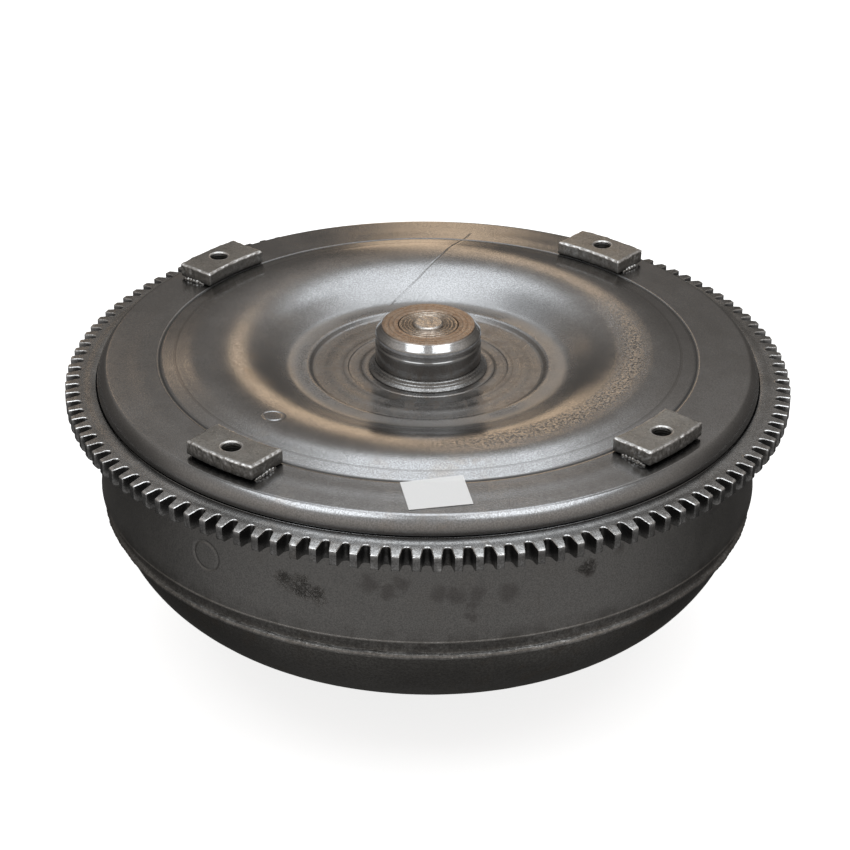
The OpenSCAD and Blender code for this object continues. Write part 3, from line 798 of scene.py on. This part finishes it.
def build_shell():
    rim = WALL_LOW + 7.2
    section = [(TORUS_R + SHELL_IN_R, rim), (TORUS_R + SHELL_OUT_R - 0.05, rim)]
    section += arc(TORUS_R, TORUS_Z, SHELL_OUT_R, 0, -144, 80)
    section += arc(TORUS_R, TORUS_Z, SHELL_IN_R, -142, 0, 30)
    bm = lathe(filled(section, 3), 360)
    for v in bm.verts:
        x, y, z = v.co
        r = v.co.xy.length
        if dist((r, z), (TORUS_R, TORUS_Z)) > SHELL_OUT_R - 0.2 and z < -50:
            outward = Vector((x, y, 0)).normalized() * (r - TORUS_R) / SHELL_OUT_R
            outward += Vector((0, 0, (z - TORUS_Z) / SHELL_OUT_R))
            v.co += outward * (0.09 * wobble(x, y, z, 26) + 0.03 * wobble(x, y, z, 6))
    finish_piece("impeller_shell_pressed", bm, "casing", "impeller_shell", "shell_steel", 40)


def build_closing_weld():
    """A bead in the joint between the wall and the shell, with painted shade in the groove above it."""
    joint_z = WALL_LOW - 0.05
    section = [(141.9, joint_z), (141.1, joint_z), (141.1, -52.5), (140.9, -55.5), (140.6, -57.6),
               (142.0, -57.7), (143.1, -56.9), (143.4, -55.9), (142.8, -55.0), (141.7, -54.3), (141.5, -53)]
    bm = lathe(filled(rounded(section, 0.6, 3), 0.8), 720)
    grime_and_shade = painted(bm, "grime_and_shade")
    for v in bm.verts:
        x, y, z = v.co
        r = v.co.xy.length
        # painted shade, darkest in the groove above the bead
        v[grime_and_shade] = 0.6 * max(0.0, min(1.0, z + 55.6))
        if r > 141.8 and z < -54:
            t = atan2(y, x)
            ripple = 0.10 * sin(t * 300 + 2.0 * wobble(x, y, 0, 25))
            push = ripple + 0.32 * wobble(x, y, z * 2, 7) + 0.16 * wobble(x, y, z, 2.4)
            v.co.xy = v.co.xy * (1 + push / r)
            v.co.z += 0.25 * wobble(x, y, z, 9)
    finish_piece("closing_weld_bead", bm, "casing", "closing_weld", "weld_metal", 60)


build_shell()
build_closing_weld()

# ------ drive pads

PAD_IN, PAD_OUT, PAD_HALF = 117.0, 135.8, 17.5  # radii of the curved sides and half the length
PAD_MIDDLE_R = 126
PADS = (1, 2, 3, 4)


def pad_outline():
    """Outer side, then inner side, of a pad that points along X."""
    across = [-PAD_HALF + 2 * PAD_HALF * i / 12 for i in range(13)]
    outer = [(sqrt(PAD_OUT ** 2 - y * y), y) for y in across]
    return outer + [(sqrt(PAD_IN ** 2 - y * y), -y) for y in across]


def modified(bm, steps):
    """Runs modifiers on a bmesh and returns the result as a new bmesh."""
    helper = linked_object("pad_block", bm)
    for kind, settings in steps:
        modifier = helper.modifiers.new(kind, kind)
        for key, value in settings.items():
            setattr(modifier, key, value)
    graph = bpy.context.evaluated_depsgraph_get()
    result = bmesh.new()
    result.from_mesh(helper.evaluated_get(graph).to_mesh())
    mesh = helper.data
    bpy.data.objects.remove(helper)
    bpy.data.meshes.remove(mesh)
    return result


THREAD_PITCH, THREAD_DEPTH = 1.06, 0.42


def threaded_hole():
    """A tapped hole's cutter: chamfer on top and a ring groove for each turn of the thread."""
    section = [(0, PAD_TOP + 1), (HOLE_R + 1.3, PAD_TOP + 1), (HOLE_R + 0.55, PAD_TOP + 0.001),
               (HOLE_R, PAD_TOP - 0.55)]
    z = PAD_TOP - 0.8
    while z > PAD_LOW + 0.6:
        section += [(HOLE_R, z), (HOLE_R + THREAD_DEPTH, z - THREAD_PITCH / 2), (HOLE_R, z - THREAD_PITCH)]
        z -= THREAD_PITCH
    section += [(HOLE_R, PAD_LOW - 1), (0, PAD_LOW - 1)]
    return lathe(section, 72, closed=False)


def pad_block(bolt_r):
    """A bevelled block with its tapped hole, remeshed finely enough to be worn."""
    bm = bmesh.new()
    outline = pad_outline()
    low = [bm.verts.new((x, y, PAD_LOW)) for x, y in outline]
    high = [bm.verts.new((x, y, PAD_TOP)) for x, y in outline]
    bm.faces.new(list(reversed(low)))
    bm.faces.new(high)
    for i in range(len(outline)):
        j = (i + 1) % len(outline)
        bm.faces.new((low[i], low[j], high[j], high[i]))
    bmesh.ops.recalc_face_normals(bm, faces=bm.faces)
    bm = modified(bm, [("BEVEL", {"width": 0.55, "segments": 2, "limit_method": "ANGLE",
                                  "angle_limit": radians(30)})])
    cutter = linked_object("pad_hole_cutter", threaded_hole())
    cutter.location.x = bolt_r
    bpy.context.view_layer.update()
    bm = modified(bm, [("BOOLEAN", {"object": cutter, "operation": "DIFFERENCE", "solver": "EXACT"}),
                       ("REMESH", {"mode": "VOXEL", "voxel_size": 0.3})])
    bpy.data.objects.remove(cutter)
    return bm


def build_pad(number):
    """One pad with torn, lumpy sides, worn edges, and grime with painted shade towards its foot and down its
    hole.
    """
    bolt_r = hypot(*mounts[f"pad_hole_{number}"]["pos_m"][:2]) / MM
    bm = pad_block(bolt_r)
    wear = painted(bm, "wear")
    grime_and_shade = painted(bm, "grime_and_shade")
    for v in bm.verts:
        x, y, z = v.co
        r = v.co.xy.length
        outer = r > PAD_MIDDLE_R
        to_side = min(PAD_OUT - r, r - PAD_IN, PAD_HALF - abs(y))
        below_top = PAD_TOP - z
        if dist((x, y), (bolt_r, 0)) < HOLE_R + 0.9:
            v[wear] = 0.7 if below_top < 1.5 else 0.0
            # painted shade, deeper down the tapped hole
            v[grime_and_shade] = min(1.0, max(0.0, below_top - 1.2))
            continue
        side = max(0.0, 1 - max(0.0, to_side))
        shifted = x + 50 * number
        lump = 0.30 * wobble(shifted, y, z * 0.6, 2.6) + 0.16 * wobble(shifted, y, z, 1.1)
        outward = Vector((1 if outer else -1, 0, 0))
        if abs(y) >= PAD_HALF - 0.6:
            outward = Vector((0, copysign(1, y), 0))
        v.co += outward * lump * side * (1.0 if outer else 0.45)
        edge = max(0.0, 1 - hypot(max(0.0, to_side), below_top) / 1.15)
        v.co.z -= edge * (0.35 + 0.5 * wobble(x, y + 20 * number, 3, 2.2))
        v.co.z += 0.05 * wobble(x + 30 * number, y, 0, 5) * (1 if below_top < 0.5 else 0)
        ragged = max(0.0, wobble(x, y, z + 30 * number, 1.5)) * side * (1.1 if outer else 0.4)
        v[wear] = min(1.0, 1.3 * edge + ragged)
        # grime and painted shade towards the pad's foot
        v[grime_and_shade] = min(1.0, max(0.0, below_top - 3.6) / 2.5) * (0.4 + 0.6 * side)
    bmesh.ops.rotate(bm, matrix=Matrix.Rotation(pad_angle(number), 3, "Z"), verts=bm.verts)
    finish_piece(f"drive_pad_{number}_block", bm, "casing", f"drive_pad_{number}", "pad_steel", 80)


BEAD_LENGTH, BEAD_SIZE = 12.5, 1.35


def build_pad_welds():
    """Lumpy fillet bead along each straight end of every pad."""
    bm = bmesh.new()
    turns, steps = 18, 56
    for number in PADS:
        for side in (-1, 1):
            spin = Matrix.Rotation(pad_angle(number), 3, "Z")
            rows = []
            for i in range(steps + 1):
                along = i / steps
                taper = sin(pi * along) ** 0.35
                r = PAD_IN + 3 + BEAD_LENGTH * along
                low = ring_surface(r) - 0.15
                row = []
                for k in range(turns):
                    a = TAU * k / turns
                    swell = 1 + 0.28 * wobble(r + 60 * number, 9 * side, k * 0.5, 2.2)
                    swell += 0.14 * sin(along * 40 + side)
                    reach = BEAD_SIZE * taper * swell
                    y = side * (PAD_HALF - 0.35 + (0.3 + 0.62 * cos(a)) * reach)
                    z = low + (0.5 + 0.62 * sin(a)) * reach
                    row.append(bm.verts.new(spin @ Vector((r, y, z))))
                rows.append(row)
            swept_tube(bm, rows)
    bmesh.ops.recalc_face_normals(bm, faces=bm.faces)
    wear = painted(bm, "wear")
    for v in bm.verts:
        v[wear] = max(0.0, wobble(*v.co, 1.6)) * 1.4
    finish_piece("drive_pad_weld_beads", bm, "casing", "drive_pad_welds", "weld_metal", 80)


for pad in PADS:
    build_pad(pad)
build_pad_welds()

# ------ turbine shell

TURBINE_R = 47.0  # radius of the shell's section
TURBINE_T = 1.8
TURBINE_LAND_R = 60.0  # where the shell goes flat for the hub's flange


def build_turbine_shell():
    middle = (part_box("turbine_shell")[1].z - FACE) / MM - TURBINE_R
    inner_r = TURBINE_R - TURBINE_T
    rim = TORUS_Z + 1.2 - middle
    land = degrees(acos((TURBINE_LAND_R - TORUS_R) / TURBINE_R))
    land_z = middle + TURBINE_R * sin(radians(land))
    section = arc(TORUS_R, middle, TURBINE_R, degrees(asin(rim / TURBINE_R)), land, 90)
    section += [(46, land_z), (43, -30), (42.6, -33.8), (44.4, -33.8), (44.8, -30)]
    section += [(47.3, land_z - TURBINE_T), (TURBINE_LAND_R, land_z - TURBINE_T)]
    section += arc(TORUS_R, middle, inner_r, land - 1, degrees(asin(rim / inner_r)), 80)
    bm = lathe(filled(section, 3), 240)
    finish_piece("turbine_shell_pressed", bm, "turbine", "turbine_shell", "blade_steel", 40)


build_turbine_shell()

# ------ damper springs

SPRING_LOW, SPRING_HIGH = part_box("damper_springs")
SPRING_OUT = (SPRING_HIGH.z - SPRING_LOW.z) / 2 / MM
SPRING_Z = (SPRING_HIGH.z + SPRING_LOW.z) / 2 / MM - FACE / MM
SPRING_RING_R = 122.5
SPRING_COUNT = 8
SPRING_HALF_ARC = radians(19.7)  # from a spring's middle to either end
SPRING_WIRE = 1.55  # the wire's radius
SPRING_TURNS = 7  # turns in half a spring; the last one is closed up


def spring_centre(share, middle, end):
    """Middle line of the wire; share runs from 0 at the spring's middle to 1 at its end, end is 1 or -1."""
    turns = share * SPRING_TURNS
    closed = 2.1 * SPRING_WIRE / SPRING_RING_R
    pitch = (SPRING_HALF_ARC - SPRING_WIRE / SPRING_RING_R - closed) / (SPRING_TURNS - 1)
    a = middle + end * (min(turns, SPRING_TURNS - 1) * pitch + max(0, turns - SPRING_TURNS + 1) * closed)
    phase = end * TAU * turns
    outward = Vector((cos(a), sin(a), 0)) * cos(phase) + Vector((0, 0, sin(phase)))
    hub = Vector((SPRING_RING_R * cos(a), SPRING_RING_R * sin(a), SPRING_Z))
    return hub + outward * (SPRING_OUT - SPRING_WIRE), outward


def build_damper_springs():
    """Coils in halves, each running from its spring's middle to one end, on the damper."""
    sides, steps = 10, SPRING_TURNS * 22
    for number in range(SPRING_COUNT):
        middle = TAU * (number + 0.5) / SPRING_COUNT
        for end, side_name in ((1, "a"), (-1, "b")):
            bm = bmesh.new()
            rings = []
            for i in range(steps + 1):
                place, outward = spring_centre(i / steps, middle, end)
                ahead, _ = spring_centre((i + 0.01) / steps, middle, end)
                across = (ahead - place).normalized().cross(outward)
                turns = [TAU * k / sides for k in range(sides)]
                rings.append([bm.verts.new(place + SPRING_WIRE * (outward * cos(a) + across * sin(a)))
                              for a in turns])
            swept_tube(bm, rings)
            bmesh.ops.recalc_face_normals(bm, faces=bm.faces)
            piece = finish_piece(f"damper_spring_{number + 1}{side_name}", bm, "damper", "damper_springs",
                                 "spring_steel", 60)
            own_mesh(piece)


build_damper_springs()

# ------ CAD nodes that stay

CAD_BEVEL = 0.00015  # metres
slot_of = {part["node"]: part["material_slot"] for part in record["subparts"]}
for name, node in frame["nodes"].items():
    if node.hide_render:
        continue
    node.data.materials.clear()
    node.data.materials.append(looks[slot_of.get(name, "plate_steel")])
    bevel = node.modifiers.new("edge", "BEVEL")
    bevel.width = CAD_BEVEL
    bevel.segments = 2
    bevel.limit_method = "ANGLE"
    bevel.angle_limit = radians(40)

# ------ floor, lights and camera


def build_floor():
    bm = bmesh.new()
    bmesh.ops.create_grid(bm, x_segments=2, y_segments=2, size=6)
    floor = linked_object("studio_floor", bm)
    look = Look("studio_floor_look", Roughness=0.9)
    mottle = look.mix(look.noise(3, 2), (0.5, 0.5, 0.5), (0.53, 0.53, 0.53))
    look.put(look.shader.inputs["Base Color"], mottle)
    look.shader.inputs["Emission Color"].default_value = (1, 1, 1, 1)
    look.shader.inputs["Emission Strength"].default_value = 0.8
    floor.data.materials.append(look.mat)
    floor.visible_glossy = False
    floor.visible_diffuse = False


def area_light(name, place, target, width, height, radiance, color=(1, 1, 1), roll=0.0):
    """A soft rectangular light of even brightness; roll turns it about its own beam, in degrees."""
    data = bpy.data.lights.new(name, "AREA")
    data.shape = "RECTANGLE"
    data.size = width
    data.size_y = height
    data.energy = radiance * pi * width * height
    data.color = color
    lamp = linked(name, data)
    lamp.location = place
    facing = (Vector(target) - Vector(place)).to_track_quat("-Z", "Y")
    lamp.rotation_mode = "QUATERNION"
    lamp.rotation_quaternion = facing @ Quaternion((0, 0, 1), radians(roll))


CEILING = FACE + 1.2
COOL = (0.93, 0.97, 1.0)
WARM_CARD, WARM_PATCH, WARM_GLOW = (1.0, 0.73, 0.48), (1.0, 0.72, 0.48), (1.0, 0.66, 0.4)


def ceiling_light(name, low_x, high_x, low_y, high_y, radiance):
    """A level panel over the rectangle given in metres."""
    x, y = (low_x + high_x) / 2, (low_y + high_y) / 2
    area_light(name, (x, y, CEILING), (x, y, 0), high_x - low_x, high_y - low_y, radiance, COOL)


# World brightness by the height a direction points to, from straight down to straight up.
WORLD_BACK = ((-1.0, 0.15), (-0.8, 0.06), (-0.47, 0.06), (0.0, 0.12), (0.2, 0.15), (0.38, 0.215),
              (0.53, 0.33), (0.64, 0.42), (0.8, 0.33), (1.0, 0.7))
WORLD_FRONT = ((-1.0, 0.15), (-0.8, 0.36), (-0.47, 0.31), (-0.2, 0.34), (0.0, 0.36), (0.44, 0.58),
               (0.77, 0.62), (1.0, 0.7))


def build_world():
    """A sky whose brightness changes with height, and from the front of the room to its back."""
    world = bpy.data.worlds.new("studio")
    bpy.context.scene.world = world
    world.use_nodes = True
    world.node_tree.nodes.clear()
    new, link = world.node_tree.nodes.new, world.node_tree.links.new
    out = new("ShaderNodeOutputWorld")
    back = new("ShaderNodeBackground")
    where = new("ShaderNodeTexCoord")
    split = new("ShaderNodeSeparateXYZ")
    scale = new("ShaderNodeMapRange")
    depth = new("ShaderNodeMapRange")
    depth.interpolation_type = "SMOOTHSTEP"
    for node, low, high in ((scale, -1, 1), (depth, 0.3, -0.35)):
        node.inputs["From Min"].default_value = low
        node.inputs["From Max"].default_value = high
    mixed = new("ShaderNodeMix")
    mixed.data_type = "RGBA"
    link(where.outputs["Generated"], split.inputs[0])
    link(split.outputs[2], scale.inputs[0])
    link(split.outputs[1], depth.inputs[0])
    link(depth.outputs[0], mixed.inputs[0])
    for stops, socket in ((WORLD_BACK, mixed.inputs[6]), (WORLD_FRONT, mixed.inputs[7])):
        ramp = new("ShaderNodeValToRGB")
        elements = ramp.color_ramp.elements
        elements.remove(elements[1])
        elements[0].position = 0.0
        for height, value in stops:
            place = (height + 1) / 2
            stop = elements[0] if place == 0.0 else elements.new(place)
            warmth = 0.95 if height < 0 or height > 0.7 else 0.84
            stop.color = (value, value * (1 + warmth) / 2, value * warmth, 1)
        link(scale.outputs[0], ramp.inputs[0])
        link(ramp.outputs[0], socket)
    link(mixed.outputs[2], back.inputs[0])
    link(back.outputs[0], out.inputs[0])


def build_lights():
    ceiling_light("back_softbox", -0.27, 0.36, 0.1, 1.2, 1.75)
    ceiling_light("back_spill", -0.5, 0.5, 0.1, 1.38, 0.35)
    ceiling_light("overhead_panel", -0.5, 0.5, -0.35, 0.1, 1.2)
    ceiling_light("front_left_box", -1.0, -0.2, -0.95, -0.02, 2.2)
    ceiling_light("front_right_box", 0.2, 1.0, -0.95, -0.02, 2.2)
    area_light("warm_card", (0.02, 1.5, FACE + 0.38), (0, 0, FACE + 0.11), 0.15, 1.02, 1.12, WARM_CARD, 10)
    centre = (0, 0, FACE)
    area_light("warm_patch_left", (-0.54, 1.4, FACE + 0.78), centre, 0.16, 0.15, 0.9, WARM_PATCH)
    area_light("warm_patch_low", (-0.6, 1.38, FACE + 0.5), centre, 0.12, 0.13, 0.7, WARM_PATCH)
    area_light("warm_patch_right", (0.5, 0.8, FACE + 1.15), centre, 0.14, 0.3, 0.25, WARM_GLOW)


CAMERA_PLACE = (-0.00113, -0.93401, FACE + 0.47977)
CAMERA_AIM = (0, 0.878, -0.478)
CAMERA_ROLL = radians(0.381)
CAMERA_LENS, SENSOR_WIDTH = 101.6, 36


def build_camera():
    data = bpy.data.cameras.new("studio_camera")
    data.lens = CAMERA_LENS
    data.sensor_width = SENSOR_WIDTH
    data.clip_start = 0.01
    camera = linked("studio_camera", data)
    camera.location = CAMERA_PLACE
    camera.rotation_mode = "QUATERNION"
    aim = Vector(CAMERA_AIM).to_track_quat("-Z", "Y")
    camera.rotation_quaternion = aim @ Quaternion((0, 0, 1), CAMERA_ROLL)
    bpy.context.scene.camera = camera


build_floor()
build_world()
build_lights()
build_camera()
bpy.context.scene.view_settings.view_transform = "Standard"
